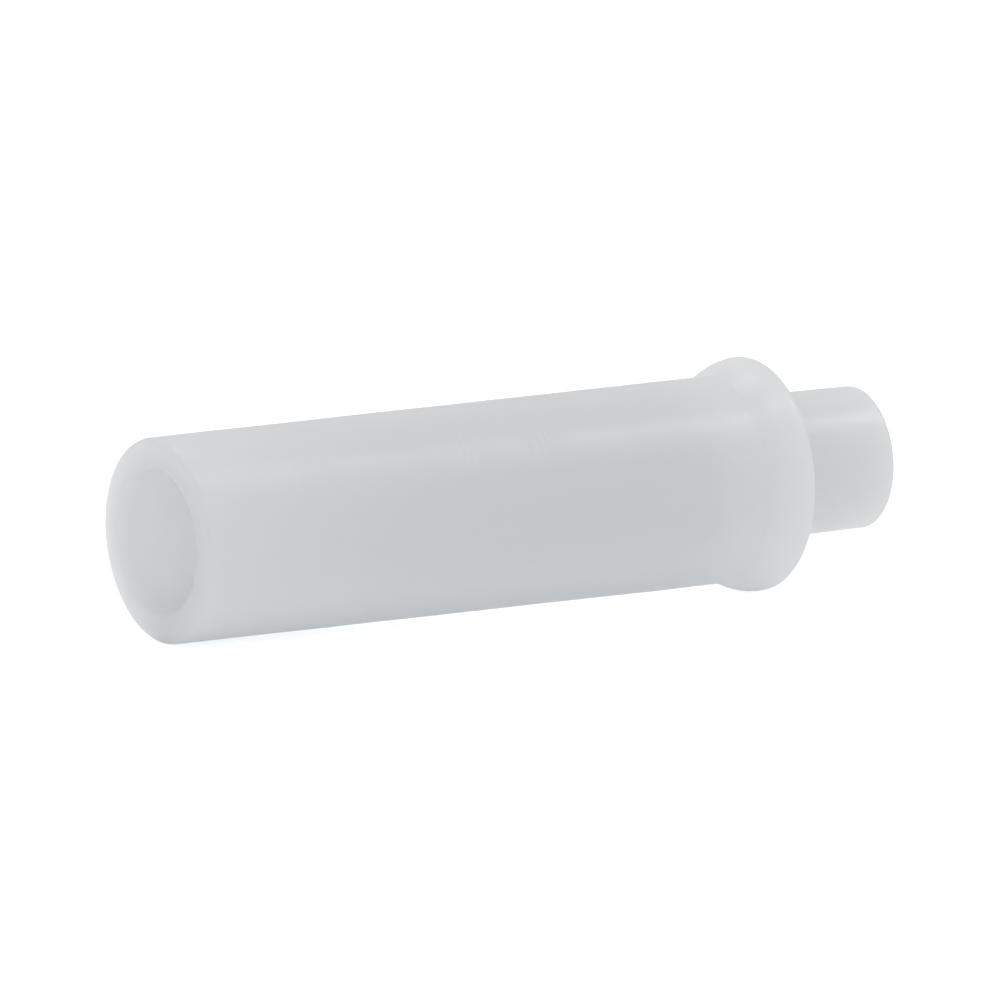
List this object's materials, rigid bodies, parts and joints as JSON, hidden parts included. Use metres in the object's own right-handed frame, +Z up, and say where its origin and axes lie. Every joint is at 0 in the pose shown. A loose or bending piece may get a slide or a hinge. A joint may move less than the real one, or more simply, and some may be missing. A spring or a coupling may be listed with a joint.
{
  "type": "saliva ejector tip",
  "caption": "Moulded sleeve with an open bore for a saliva ejector tube, a domed collar and a spigot that plugs into a suction valve.",
  "frame": {"origin": "on the tip's axis, at the middle of its length", "axes": "+X along the tip's axis from the open mouth to the spigot, +Z up as the tip lies on its side"},
  "size_m": [0.0378, 0.0108, 0.0108],
  "materials": {
    "milky_plastic": "satin, translucent milky white moulded polyolefin"
  },
  "bodies": {
    "root": {"tip_body": "milky_plastic"}
  },
  "joints": []
}
